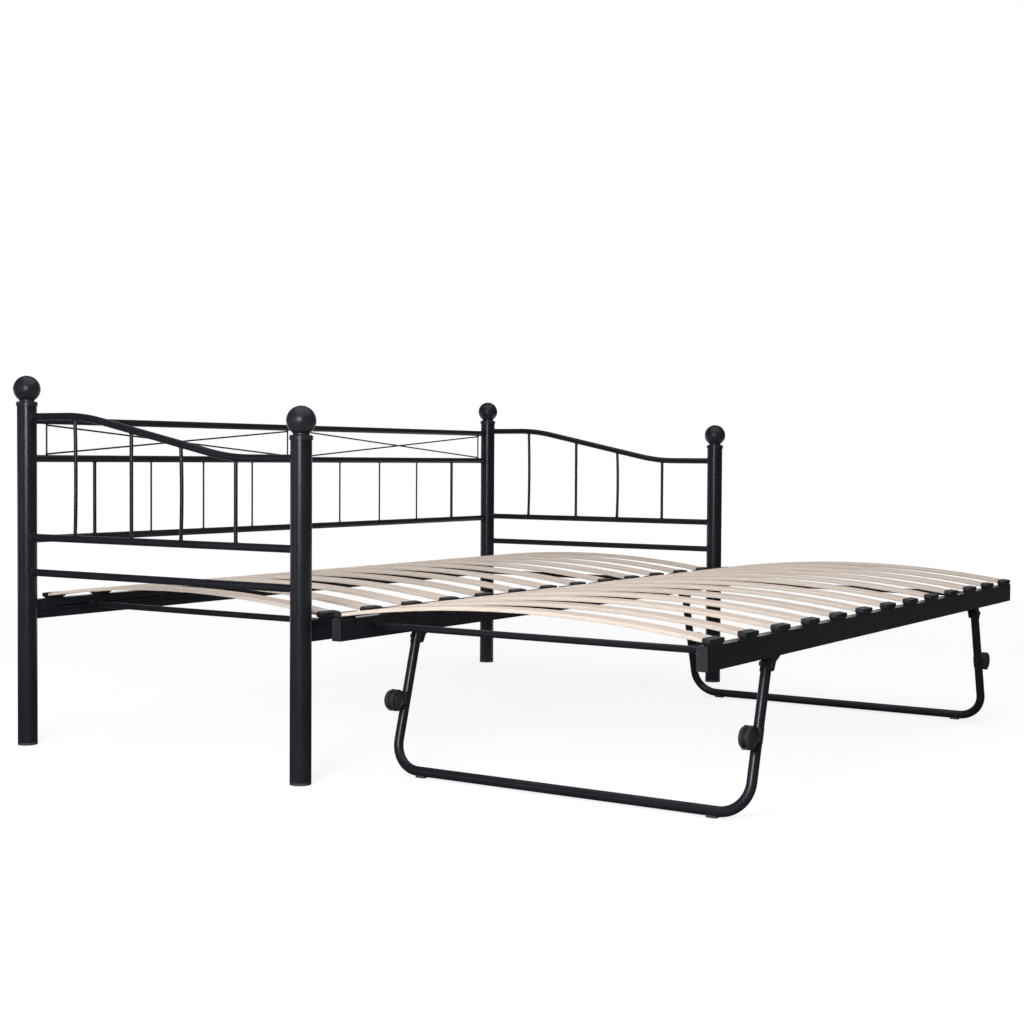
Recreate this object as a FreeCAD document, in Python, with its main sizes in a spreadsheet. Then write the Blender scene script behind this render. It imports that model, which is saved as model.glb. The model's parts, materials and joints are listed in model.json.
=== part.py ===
"""Metal daybed with a raised fold-leg trundle beside it.

Millimetres, +Z up, floor at Z = 0. X runs along the beds, +Y towards the back panel.
The origin is the middle of the whole footprint. Left is -X, seen from the trundle's side.
"""
import FreeCAD
import Part
import math
import os
import Sketcher
from FreeCAD import Placement, Rotation, Vector

SIZES = {
    # posts and finials
    "post_spacing_x": 2050,
    "post_spacing_y": 885,
    "post_diameter": 48,
    "post_wall": 1.5,
    "rear_height": 917,
    "front_height": 832,
    "ball_diameter": 66,
    "neck_diameter": 37,
    "neck_height": 4,
    "collar_height": 11,
    "collar_lip": 2,
    "collar_round": 3.5,
    "spigot_length": 30,
    "foot_cap_height": 6,
    "plug_gap": 0.1,
    "weld_gap": 0.1,
    # end panels
    "end_rail_diameter": 18,
    "rail_wall": 1.2,
    "end_top_rear_drop": 102,
    "end_top_front_drop": 116,
    "end_bend_rear": 244,
    "end_bend_front": 233,
    "end_bend_radius": 600,
    "end_lower_drop": 199,
    "end_middle_drop": 87,
    "spindle_diameter": 9,
    "spindle_bow": 3,
    "spindle_outer_rear": 271,
    "spindle_inner_rear": 79,
    "spindle_inner_front": 81,
    "spindle_outer_front": 251,
    # back panel
    "back_rail_diameter": 18,
    "back_top_drop": 110,
    "back_middle_drop": 95,
    "back_lower_drop": 201,
    "back_spindle_inset": 221,
    "back_spindle_diameter": 5,
    "wire_diameter": 4.5,
    "wire_outer_inset": 62,
    "wire_inner_place": 46,
    "stud_length": 28,
    "screw_diameter": 5,
    # slat bases
    "base_rail_height": 48,
    "base_rail_thickness": 25,
    "base_rail_wall": 1.5,
    "bed_rail_bottom": 313,
    "cross_tube_diameter": 15,
    "cross_tube_wall": 1.2,
    "bed_cross_inset": 200,
    "bracket_length": 58,
    "bracket_height": 36,
    "bracket_thickness": 3,
    "bolt_diameter": 8,
    "bolt_pitch": 26,
    "bolt_head_diameter": 13,
    "bolt_head_height": 4.5,
    "bolt_reach": 12,
    # slats and their caps
    "slat_count": 13,
    "bed_slat_inset": 89,
    "trundle_slat_inset": 39,
    "slat_width": 53,
    "slat_thickness": 8,
    "slat_crown": 34,
    "slat_lap": 8,
    "slat_gap": 0.3,
    "cap_length": 62,
    "cap_depth": 18.5,
    "cap_overhang": 1,
    "cap_inner_height": 15,
    "cap_outer_height": 12.5,
    "cap_foot_height": 2,
    "cap_foot_length": 46,
    "cap_floor": 3.5,
    "cap_bevel": 3.5,
    # trundle
    "trundle_length": 1950,
    "trundle_width": 902,
    "trundle_offset": 978,
    "trundle_shift": -47,
    "trundle_rail_bottom": 321,
    "trundle_cross_inset": 135,
    "end_cap_plate": 4,
    "end_cap_plug": 22,
    # folding legs
    "pivot_inset": 293,
    "pivot_drop": 14,
    "leg_splay_angle": 15.7,
    "leg_diameter": 22,
    "leg_wall": 1.5,
    "leg_bend_radius": 65,
    "glide_height": 6,
    "glide_length": 24,
    "glide_width": 16,
    "glide_floor": 2.5,
    "hinge_sheet": 1.5,
    "hinge_gap": 0.3,
    "hinge_inner_reach": 40,
    "hinge_shoulder_reach": 19,
    "hinge_shoulder_drop": 10,
    "hinge_depth": 14,
    "rivet_diameter": 6,
    "rivet_head_diameter": 11,
    "rivet_head_height": 2,
    "running_gap": 0.06,
    # castors
    "castor_place": 146,
    "castor_gap": 0.8,
    "castor_trail": 10,
    "wheel_diameter": 44,
    "wheel_width": 8.5,
    "wheel_bevel": 2,
    "hub_diameter": 16,
    "hub_recess": 1.5,
    "axle_diameter": 6,
    "web_thickness": 6,
    "web_diameter": 36,
    "wheel_side_gap": 0.4,
    "hood_gap": 0.8,
    "hood_sheet": 1.8,
    "screw_floor": 1.8,
    "stem_diameter": 8,
    "stem_boss_diameter": 14,
    "saddle_width": 29,
    "saddle_height": 30,
    "saddle_depth": 20.5,
    "saddle_lap": 4,
    "stem_reach": 7,
    "saddle_screw_pitch": 21,
    "saddle_screw_diameter": 4,
    "saddle_screw_head": 7.5,
    "saddle_screw_head_height": 2.5,
}

doc = FreeCAD.newDocument("trundle_bed")
sheet = doc.addObject("Spreadsheet::Sheet", "Sizes")
for row, (name, number) in enumerate(SIZES.items(), start=1):
    sheet.set(f"A{row}", name)
    sheet.set(f"B{row}", str(number))
    sheet.setAlias(f"B{row}", name)
doc.recompute()


class Measure:
    """A length or angle that carries its number and its formula over the sheet."""

    def __init__(self, number, formula):
        self.number = number
        self.formula = formula

    def __float__(self):
        return float(self.number)

    def __add__(self, other):
        return Measure(float(self) + float(other), f"({formula(self)} + {formula(other)})")

    def __radd__(self, other):
        return measure(other) + self

    def __sub__(self, other):
        return Measure(float(self) - float(other), f"({formula(self)} - {formula(other)})")

    def __rsub__(self, other):
        return measure(other) - self

    def __mul__(self, other):
        return Measure(float(self) * float(other), f"({formula(self)} * {formula(other)})")

    def __rmul__(self, other):
        return measure(other) * self

    def __truediv__(self, other):
        return Measure(float(self) / float(other), f"({formula(self)} / {formula(other)})")

    def __neg__(self):
        return Measure(-float(self), f"(0 - {formula(self)})")


def formula(value):
    return value.formula if isinstance(value, Measure) else repr(float(value))


def measure(value):
    return value if isinstance(value, Measure) else Measure(value, formula(value))


def size(name):
    return Measure(float(sheet.get(name)), f"Sizes.{name}")


def sine(angle):
    return Measure(math.sin(math.radians(float(angle))), f"sin({formula(angle)})")


def cosine(angle):
    return Measure(math.cos(math.radians(float(angle))), f"cos({formula(angle)})")


def root(value):
    return Measure(math.sqrt(float(value)), f"sqrt({formula(value)})")


def larger(first, second):
    return Measure(max(float(first), float(second)), f"max({formula(first)}; {formula(second)})")


def bind(item, prop, value):
    """Tie a property of a document object to the sheet."""
    if isinstance(value, Measure):
        item.setExpression(prop, value.formula)
    else:
        setattr(item, prop, value)


def place(item, at=(0, 0, 0), turn=None):
    """Put an object at a point, turned by a rotation about it."""
    item.Placement = Placement(Vector(*[float(value) for value in at]), turn or Rotation())
    for axis, value in zip("xyz", at):
        if isinstance(value, Measure):
            item.setExpression(f"Placement.Base.{axis}", value.formula)
    return item


ALONG_X = Rotation(Vector(0, 1, 0), 90)
ALONG_Y = Rotation(Vector(1, 0, 0), -90)
BACKWARDS = Rotation(Vector(0, 0, 1), 180)


# ---- simple solids ---------------------------------------------------------------------

def rod(name, diameter, length, at, turn=None):
    """A round bar whose near end sits at a point, running along its own Z."""
    item = doc.addObject("Part::Cylinder", name)
    bind(item, "Radius", diameter / 2)
    bind(item, "Height", length)
    return place(item, at, turn)


def box(name, low, high):
    """A block between two corners."""
    item = doc.addObject("Part::Box", name)
    for prop, start, end in zip(("Length", "Width", "Height"), low, high):
        bind(item, prop, measure(end) - start)
    return place(item, low)


def ball(name, diameter, at):
    item = doc.addObject("Part::Sphere", name)
    bind(item, "Radius", diameter / 2)
    return place(item, at)


def fuse(name, *items):
    item = doc.addObject("Part::MultiFuse", name)
    item.Shapes = list(items)
    return item


def cut(name, base, *tools):
    """The base less its tools."""
    item = doc.addObject("Part::Cut", name)
    item.Base = base
    item.Tool = tools[0] if len(tools) == 1 else gather(f"{name}_tools", tools)
    return item


def common(name, one, other):
    """What two solids share."""
    item = doc.addObject("Part::Common", name)
    item.Base = one
    item.Tool = other
    return item


def gather(name, items):
    """Several separate solids held as one object."""
    item = doc.addObject("Part::Compound", name)
    item.Links = list(items)
    return item


def tube(name, diameter, wall, length, at, turn=None, tools=()):
    """A round tube, with more tools cut from it where its ends are shaped."""
    outer = rod(f"{name}_outer", diameter, length, at, turn)
    inner = rod(f"{name}_bore", diameter - 2 * wall, length, at, turn)
    return cut(name, outer, inner, *tools)


# ---- sketched solids -------------------------------------------------------------------

def origin_part(body, role):
    return next(item for item in body.Origin.OriginFeatures if item.Role == role)


def sketch(body, name, plane):
    item = body.newObject("Sketcher::SketchObject", name)
    item.AttachmentSupport = [(origin_part(body, plane), "")]
    item.MapMode = "FlatFace"
    return item


def hold(item, constraint, value):
    """Add a dimension to a sketch and tie it to the sheet."""
    number = item.addConstraint(constraint)
    if isinstance(value, Measure):
        item.setExpression(f"Constraints[{number}]", value.formula)


def pin(item, geometry, end, point):
    """Hold one end of a sketched edge at a point."""
    for kind, value in zip(("DistanceX", "DistanceY"), point):
        hold(item, Sketcher.Constraint(kind, -1, 1, geometry, end, float(value)), value)


def flat(point):
    return Vector(float(point[0]), float(point[1]), 0)


def ends_from(item, edge, start):
    """The ids of an edge's two ends, with the one at a given point first."""
    return (1, 2) if item.getPoint(edge, 1).isEqual(start, 1e-6) else (2, 1)


def draw_arc(item, start, finish, rise, toward):
    """An arc between two points that rises off its chord."""
    middle = (flat(start) + flat(finish)) * 0.5 + flat(toward) * float(rise)
    edge = item.addGeometry(Part.Arc(flat(start), middle, flat(finish)), False)
    across = measure(finish[0]) - start[0]
    along = measure(finish[1]) - start[1]
    radius = (across * across + along * along) / (8 * rise) + rise / 2
    hold(item, Sketcher.Constraint("Radius", edge, float(radius)), radius)
    return edge


def draw_circle(item, radius):
    """A circle round the sketch's origin."""
    circle = item.addGeometry(Part.Circle(Vector(), Vector(0, 0, 1), float(radius)), False)
    item.addConstraint(Sketcher.Constraint("Coincident", circle, 3, -1, 1))
    hold(item, Sketcher.Constraint("Radius", circle, float(radius)), radius)


def polygon(body, name, plane, points, rise=0, risen=()):
    """A closed outline through points; the edges listed as risen are arcs that rise upwards."""
    item = sketch(body, name, plane)
    following = points[1:] + points[:1]
    edges = []
    for index, (start, finish) in enumerate(zip(points, following)):
        if index in risen:
            edge = draw_arc(item, start, finish, rise, (0, 1))
        else:
            edge = item.addGeometry(Part.LineSegment(flat(start), flat(finish)), False)
        edges.append((edge, *ends_from(item, edge, flat(start))))
    for (edge, _, last), (after, first, _), point in zip(edges, edges[1:] + edges[:1], following):
        item.addConstraint(Sketcher.Constraint("Coincident", edge, last, after, first))
        pin(item, after, first, point)
    return item


def pad(body, name, profile, length):
    """A pad on both sides of its sketch."""
    item = body.newObject("PartDesign::Pad", name)
    item.Profile = profile
    item.SideType = "Symmetric"
    bind(item, "Length", length)
    return item


def pocket(body, name, profile, length):
    """A pocket on both sides of its sketch."""
    item = body.newObject("PartDesign::Pocket", name)
    item.Profile = profile
    item.SideType = "Symmetric"
    bind(item, "Length", length)
    return item


def plate(name, points, width):
    """A flat piece with an outline in the XZ plane, centred on that plane."""
    body = doc.addObject("PartDesign::Body", name)
    pad(body, f"{name}_pad", polygon(body, f"{name}_outline", "XZ_Plane", points), width)
    return body


def revolve(name, plane, axis, points):
    """A turned solid: its half outline goes once round an axis of the sketch."""
    body = doc.addObject("PartDesign::Body", name)
    outline = polygon(body, f"{name}_outline", plane, points)
    item = body.newObject("PartDesign::Revolution", f"{name}_turn")
    item.Profile = outline
    item.ReferenceAxis = (outline, [axis])
    item.Angle = 360
    return body


def row_along_x(body, originals, length, count):
    """Copies of the features, evenly spaced over a length."""
    item = body.newObject("PartDesign::LinearPattern", f"{body.Name}_row")
    item.Originals = originals
    item.Direction = (origin_part(body, "X_Axis"), [""])
    bind(item, "Length", length)
    bind(item, "Occurrences", count)
    body.Tip = item
    return body


def sweep(body, path, profile_plane, diameter, wall=None):
    """A round bar, or a tube where a wall is given, swept along a path from the origin."""
    profile = sketch(body, f"{body.Name}_section", profile_plane)
    draw_circle(profile, diameter / 2)
    if wall is not None:
        draw_circle(profile, diameter / 2 - wall)
    item = body.newObject("PartDesign::AdditivePipe", f"{body.Name}_sweep")
    item.Profile = profile
    item.Spine = (path, [])
    return body


def bend_points(before, corner, after, radius):
    """Where a bend of a radius starts, its middle, and where it ends."""
    back = (before - corner).normalize()
    ahead = (after - corner).normalize()
    half_angle = back.getAngle(ahead) / 2
    trim = radius / math.tan(half_angle)
    centre = corner + (back + ahead).normalize() * (radius / math.sin(half_angle))
    middle = centre + (corner - centre).normalize() * radius
    return corner + back * trim, middle, corner + ahead * trim


def rounded_path(body, corners, radius):
    """Straight runs between corners in the YZ plane, joined by tangent bends."""
    item = sketch(body, f"{body.Name}_path", "YZ_Plane")
    spots = [flat(corner) for corner in corners]
    bends = [bend_points(*three, float(radius)) for three in zip(spots, spots[1:], spots[2:])]
    starts = spots[:1] + [bend[2] for bend in bends]
    stops = [bend[0] for bend in bends] + spots[-1:]
    runs = [item.addGeometry(Part.LineSegment(*pair), False) for pair in zip(starts, stops)]
    pin(item, runs[0], 1, corners[0])
    pin(item, runs[-1], 2, corners[-1])
    for bend, corner, before, after in zip(bends, corners[1:], runs, runs[1:]):
        arc = item.addGeometry(Part.Arc(*bend), False)
        first, last = ends_from(item, arc, bend[0])
        item.addConstraint(Sketcher.Constraint("Tangent", before, 2, arc, first))
        item.addConstraint(Sketcher.Constraint("Tangent", arc, last, after, 1))
        hold(item, Sketcher.Constraint("Radius", arc, float(radius)), radius)
        vertex = item.addGeometry(Part.Point(flat(corner)), True)
        pin(item, vertex, 1, corner)
        item.addConstraint(Sketcher.Constraint("PointOnObject", vertex, 1, before))
        item.addConstraint(Sketcher.Constraint("PointOnObject", vertex, 1, after))
    return item


def bent_tube(name, corners, radius, profile_plane, diameter, wall=None):
    """A bar or tube bent in the YZ plane; the first corner is its origin."""
    body = doc.addObject("PartDesign::Body", name)
    path = rounded_path(body, corners, radius)
    return sweep(body, path, profile_plane, diameter, wall)


def bowed_rod(name, diameter, height, bow):
    """A thin upright rod that bows slightly towards -Y between its ends."""
    body = doc.addObject("PartDesign::Body", name)
    path = sketch(body, f"{name}_path", "YZ_Plane")
    arc = draw_arc(path, (0, 0), (0, height), bow, (-1, 0))
    first, last = ends_from(path, arc, Vector())
    pin(path, arc, first, (0, 0))
    pin(path, arc, last, (0, height))
    return sweep(body, path, "XY_Plane", diameter)


# ---- where the two beds stand ----------------------------------------------------------

post_radius = size("post_diameter") / 2
half_x = size("post_spacing_x") / 2
half_y = size("post_spacing_y") / 2
rear_reach = half_y + size("ball_diameter") / 2
trundle_rail_y = (size("trundle_width") - size("base_rail_thickness")) / 2
cap_reach = size("base_rail_thickness") / 2 + size("cap_overhang")
leg_radius = size("leg_diameter") / 2
hinge_inside = leg_radius + size("hinge_gap")
hinge_outside = hinge_inside + size("hinge_sheet")
rivet_reach = hinge_outside + size("rivet_head_height")
front_reach = size("trundle_offset") + trundle_rail_y + larger(cap_reach, rivet_reach)
bed_y = (front_reach - rear_reach) / 2
trundle_x = size("trundle_shift")
trundle_y = bed_y - size("trundle_offset")

SIDES = {"left": -1, "right": 1}
DEPTHS = {"rear": 1, "front": -1}
CORNERS = [(depth, side) for depth in DEPTHS for side in SIDES]


def bed_corner(depth, side):
    return half_x * SIDES[side], bed_y + half_y * DEPTHS[depth]


# ---- posts, finials and foot caps ------------------------------------------------------

collar_drop = (
    size("ball_diameter") / 2
    + root((size("ball_diameter") / 2) * (size("ball_diameter") / 2)
           - (size("neck_diameter") / 2) * (size("neck_diameter") / 2))
    + size("neck_height")
)
tube_top_drop = collar_drop + size("collar_height")
plug_diameter = size("post_diameter") - 2 * size("post_wall") - 2 * size("plug_gap")


def make_post(depth, side):
    x, y = bed_corner(depth, side)
    bottom = size("foot_cap_height")
    top = size(f"{depth}_height") - tube_top_drop
    return tube(f"post_{depth}_{side}", size("post_diameter"), size("post_wall"), top - bottom, (x, y, bottom))


def make_finial(depth, side):
    """A ball on a neck and a rounded collar, with a spigot down inside the post."""
    name = f"finial_{depth}_{side}"
    x, y = bed_corner(depth, side)
    top = size(f"{depth}_height")
    centre = top - size("ball_diameter") / 2
    collar_top = top - collar_drop
    collar_bottom = top - tube_top_drop
    collar_radius = post_radius + size("collar_lip")
    bead = size("collar_round")
    ring = doc.addObject("Part::Torus", f"{name}_bead")
    bind(ring, "Radius1", collar_radius - bead)
    bind(ring, "Radius2", bead)
    place(ring, (x, y, collar_top - bead))
    return fuse(
        name,
        ball(f"{name}_ball", size("ball_diameter"), (x, y, centre)),
        rod(f"{name}_neck", size("neck_diameter"), centre - collar_top, (x, y, collar_top)),
        rod(f"{name}_crown", 2 * (collar_radius - bead), size("collar_height"), (x, y, collar_bottom)),
        rod(f"{name}_collar", 2 * collar_radius, size("collar_height") - bead, (x, y, collar_bottom)),
        ring,
        rod(f"{name}_spigot", plug_diameter, size("spigot_length"),
            (x, y, collar_bottom - size("spigot_length"))),
    )


def make_foot_cap(depth, side):
    name = f"foot_cap_{depth}_{side}"
    x, y = bed_corner(depth, side)
    height = size("foot_cap_height")
    return fuse(
        name,
        rod(f"{name}_pad", size("post_diameter"), height, (x, y, 0)),
        rod(f"{name}_plug", plug_diameter, height + size("spigot_length"), (x, y, 0)),
    )


def post_cutters(name, corners, bottom, top):
    """Round tools that shape a rail's end to the posts it meets."""
    cutters = []
    for depth, side in corners:
        x, y = bed_corner(depth, side)
        cutters.append(rod(f"{name}_saddle_{depth}_{side}", size("post_diameter") + 2 * size("weld_gap"),
                           top - bottom, (x, y, bottom)))
    return cutters


nodes = {}


def keep(item):
    """Make an object one of the named pieces of the bed."""
    nodes[item.Name] = item
    item.Label = item.Name
    return item


for depth, side in CORNERS:
    keep(make_post(depth, side))
for depth, side in CORNERS:
    keep(make_finial(depth, side))
keep(gather("foot_caps", [make_foot_cap(depth, side) for depth, side in CORNERS]))


# ---- end panels ------------------------------------------------------------------------

end_heights = {
    "rear": size("rear_height") - size("end_top_rear_drop"),
    "front": size("front_height") - size("end_top_front_drop"),
}
end_heights["lower"] = end_heights["front"] - size("end_lower_drop")
end_heights["middle"] = end_heights["lower"] - size("end_middle_drop")


def straight_end_rail(name, side, height):
    """A tube from the rear post to the front post."""
    diameter = size("end_rail_diameter")
    corners = [("rear", side), ("front", side)]
    tools = post_cutters(name, corners, height - diameter, height + diameter)
    start = (half_x * SIDES[side], bed_y - half_y, height)
    return tube(name, diameter, size("rail_wall"), size("post_spacing_y"), start, ALONG_Y, tools)


def end_top_curve(name, side, diameter, wall=None):
    """The S-curve from the rear post down to the front post, drawn from its rear end."""
    fall = end_heights["front"] - end_heights["rear"]
    corners = [
        (0, 0),
        (size("end_bend_rear") - half_y, 0),
        (-size("end_bend_front") - half_y, fall),
        (-size("post_spacing_y"), fall),
    ]
    curve = bent_tube(name, corners, size("end_bend_radius"), "XZ_Plane", diameter, wall)
    return place(curve, (half_x * SIDES[side], bed_y + half_y, end_heights["rear"]))


def end_top_rail(name, side):
    diameter = size("end_rail_diameter")
    rail = end_top_curve(f"{name}_tube", side, diameter, size("rail_wall"))
    low = end_heights["front"] - diameter
    high = end_heights["rear"] + diameter
    return cut(name, rail, *post_cutters(name, [("rear", side), ("front", side)], low, high))


def top_rail_height(across):
    """Height of the S-curve's straight runs at a distance behind the panel's middle."""
    rear_bend = size("end_bend_rear")
    front_bend = -size("end_bend_front")
    low = end_heights["front"]
    high = end_heights["rear"]
    if float(across) >= float(rear_bend):
        return high
    if float(across) <= float(front_bend):
        return low
    return low + (high - low) * ((across - front_bend) / (rear_bend - front_bend))


def end_spindles(side):
    """Four rods from the lower rail up to the S-curve, two of them slightly bowed."""
    name = f"end_spindles_{side}"
    x = half_x * SIDES[side]
    bottom = end_heights["lower"]
    fit_diameter = size("end_rail_diameter") + 2 * size("weld_gap")
    rails = [
        rod(f"{name}_lower_fit", fit_diameter, size("post_spacing_y"), (x, bed_y - half_y, bottom), ALONG_Y),
        end_top_curve(f"{name}_top_fit", side, fit_diameter),
    ]
    places = {
        "outer_rear": size("spindle_outer_rear"),
        "inner_rear": size("spindle_inner_rear"),
        "inner_front": -size("spindle_inner_front"),
        "outer_front": -size("spindle_outer_front"),
    }
    rods = []
    for spot, across in places.items():
        height = top_rail_height(across) - bottom
        at = (x, bed_y + across, bottom)
        if spot in ("outer_rear", "inner_front"):
            item = place(bowed_rod(f"{name}_{spot}", size("spindle_diameter"), height, size("spindle_bow")), at)
        else:
            item = rod(f"{name}_{spot}", size("spindle_diameter"), height, at)
        rods.append(cut(f"{item.Name}_fitted", item, *rails))
    return gather(name, rods)


for side in SIDES:
    keep(end_top_rail(f"end_top_rail_{side}", side))
    keep(straight_end_rail(f"end_lower_rail_{side}", side, end_heights["lower"]))
    keep(straight_end_rail(f"end_middle_rail_{side}", side, end_heights["middle"]))
    keep(end_spindles(side))


# ---- back panel ------------------------------------------------------------------------

back_y = bed_y + half_y
back_top = size("rear_height") - size("back_top_drop")
back_middle = back_top - size("back_middle_drop")
back_heights = {"top": back_top, "middle": back_middle, "lower": back_middle - size("back_lower_drop")}
back_bore = size("back_rail_diameter") - 2 * size("rail_wall")


def back_stud(level, side):
    """A stud welded to the post that fills the end of a back rail."""
    name = f"back_rail_stud_{level}_{side}"
    height = back_heights[level]
    reach = post_radius + size("stud_length")
    start = half_x * SIDES[side] - (reach if side == "right" else 0)
    stud = rod(name, back_bore - 2 * size("plug_gap"), reach, (start, back_y, height), ALONG_X)
    cutter = post_cutters(name, [("rear", side)], height - back_bore, height + back_bore)
    hole = rod(f"{name}_hole", size("screw_diameter"), back_bore, (stud_middle(side), back_y, height), ALONG_Y)
    return cut(f"{name}_drilled", stud, *cutter, hole)


def stud_middle(side):
    """Where a grub screw crosses its stud."""
    return (half_x - post_radius - size("stud_length") / 2) * SIDES[side]


def back_screw(level, side, gap=0):
    """A grub screw driven in from behind, flush with the rail."""
    name = f"back_rail_screw_{level}_{side}" if gap == 0 else f"back_rail_screw_fit_{level}_{side}"
    reach = size("back_rail_diameter") / 2
    at = (stud_middle(side), back_y, back_heights[level])
    return rod(name, size("screw_diameter") - 2 * size("plug_gap") + 2 * gap, reach, at, ALONG_Y)


def back_rail(level):
    name = f"back_{level}_rail"
    diameter = size("back_rail_diameter")
    height = back_heights[level]
    corners = [("rear", "left"), ("rear", "right")]
    tools = post_cutters(name, corners, height - diameter, height + diameter)
    tools += [back_screw(level, side, size("plug_gap")) for side in SIDES]
    start = (-half_x, back_y, height)
    return tube(name, diameter, size("rail_wall"), size("post_spacing_x"), start, ALONG_X, tools)


def back_rail_fit(name, level):
    """The rail's outside, as a tool that ends the rods welded to it."""
    start = (-half_x, back_y, back_heights[level])
    return rod(name, size("back_rail_diameter") + 2 * size("weld_gap"), size("post_spacing_x"), start, ALONG_X)


def back_spindles():
    """Upright rods between the middle and lower rail: thin ones, with a thick one at each end."""
    bottom = back_heights["lower"]
    height = back_heights["middle"] - bottom
    outermost = 4
    rods = []
    for index in range(-outermost, outermost + 1):
        thick = abs(index) == outermost
        diameter = size("spindle_diameter") if thick else size("back_spindle_diameter")
        at = ((half_x - size("back_spindle_inset")) * (index / outermost), back_y, bottom)
        item = rod(f"back_spindle_{index + outermost}", diameter, height, at)
        fits = [back_rail_fit(f"{item.Name}_{level}_fit", level) for level in ("middle", "lower")]
        rods.append(cut(f"{item.Name}_fitted", item, *fits))
    return gather("back_spindles", rods)


def back_wires():
    """Two wire crosses between the top and middle rail, and the wire uprights beside them."""
    wire = size("wire_diameter")
    bottom = back_heights["middle"]
    rise = back_heights["top"] - bottom
    low_z = bottom + size("back_rail_diameter") / 2 + wire / 2
    high_z = back_heights["top"] - size("back_rail_diameter") / 2 - wire / 2
    crossing = []
    uprights = []
    for side, sign in SIDES.items():
        inner = size("wire_inner_place") * sign
        outer = (half_x - size("wire_outer_inset")) * sign
        for spot, x in (("inner", inner), ("outer", outer)):
            item = rod(f"wire_upright_{side}_{spot}", wire, rise, (x, back_y, bottom))
            fits = [back_rail_fit(f"{item.Name}_{level}_fit", level) for level in ("top", "middle")]
            uprights.append(cut(f"{item.Name}_fitted", item, *fits))
        clear = wire / 2 + size("weld_gap")
        ends = (
            ("falling", inner, high_z, outer, low_z, clear),
            ("rising", inner, low_z, outer, high_z, -clear),
        )
        for spot, x_from, z_from, x_to, z_to, behind in ends:
            start = Vector(float(x_from), float(back_y + behind), float(z_from))
            end = Vector(float(x_to), float(back_y + behind), float(z_to))
            run = root((x_to - x_from) * (x_to - x_from) + (z_to - z_from) * (z_to - z_from))
            turn = Rotation(Vector(0, 0, 1), end - start)
            item = rod(f"wire_{side}_{spot}", wire, run, (x_from, back_y + behind, z_from), turn)
            posts = [
                rod(f"{item.Name}_{end_spot}_fit", wire + 2 * size("weld_gap"), rise, (x, back_y, bottom))
                for end_spot, x in (("inner", inner), ("outer", outer))
            ]
            crossing.append(cut(f"{item.Name}_fitted", item, *posts))
    return gather("back_cross_wires", crossing), gather("back_wire_uprights", uprights)


for level in back_heights:
    keep(back_rail(level))
keep(back_spindles())
for item in back_wires():
    keep(item)
keep(gather("back_rail_studs", [back_stud(level, side) for level in back_heights for side in SIDES]))
keep(gather("back_rail_screws", [back_screw(level, side) for level in back_heights for side in SIDES]))


# ---- slat bases ------------------------------------------------------------------------

rail_half = size("base_rail_thickness") / 2


def base_rail(name, x_from, x_to, y, bottom, tools=()):
    """A rectangular tube along X, open at its ends."""
    wall = size("base_rail_wall")
    top = bottom + size("base_rail_height")
    outer = box(f"{name}_outer", (x_from, y - rail_half, bottom), (x_to, y + rail_half, top))
    inner = box(f"{name}_bore", (x_from, y - rail_half + wall, bottom + wall),
                (x_to, y + rail_half - wall, top - wall))
    return cut(name, outer, inner, *tools)


def cross_tube(name, x, y, half_span, height):
    """A thin round tube between the inner faces of two rails."""
    start = (x, y - half_span + size("weld_gap"), height)
    length = 2 * (half_span - size("weld_gap"))
    return tube(name, size("cross_tube_diameter"), size("cross_tube_wall"), length, start, ALONG_Y)


def slats(name, x_middle, row, y, rail_y, rail_top):
    """Sprung slats, crowned upwards, whose ends lie in the caps on the rails."""
    body = doc.addObject("PartDesign::Body", name)
    half = rail_y + size("slat_lap")
    thick = size("slat_thickness")
    corners = [(-half, 0), (half, 0), (half, thick), (-half, thick)]
    profile = polygon(body, f"{name}_profile", "YZ_Plane", corners, size("slat_crown"), (0, 2))
    strip = pad(body, f"{name}_strip", profile, size("slat_width"))
    row_along_x(body, [strip], row, size("slat_count"))
    return place(body, (x_middle - row / 2, y, rail_top + size("cap_floor")))


def slat_rise(half_span, across):
    """How far a slat has risen above its tips at a distance from the bed's middle."""
    crown = size("slat_crown")
    radius = half_span * half_span / (2 * crown) + crown / 2
    return root(radius * radius - across * across) - radius + crown


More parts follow.
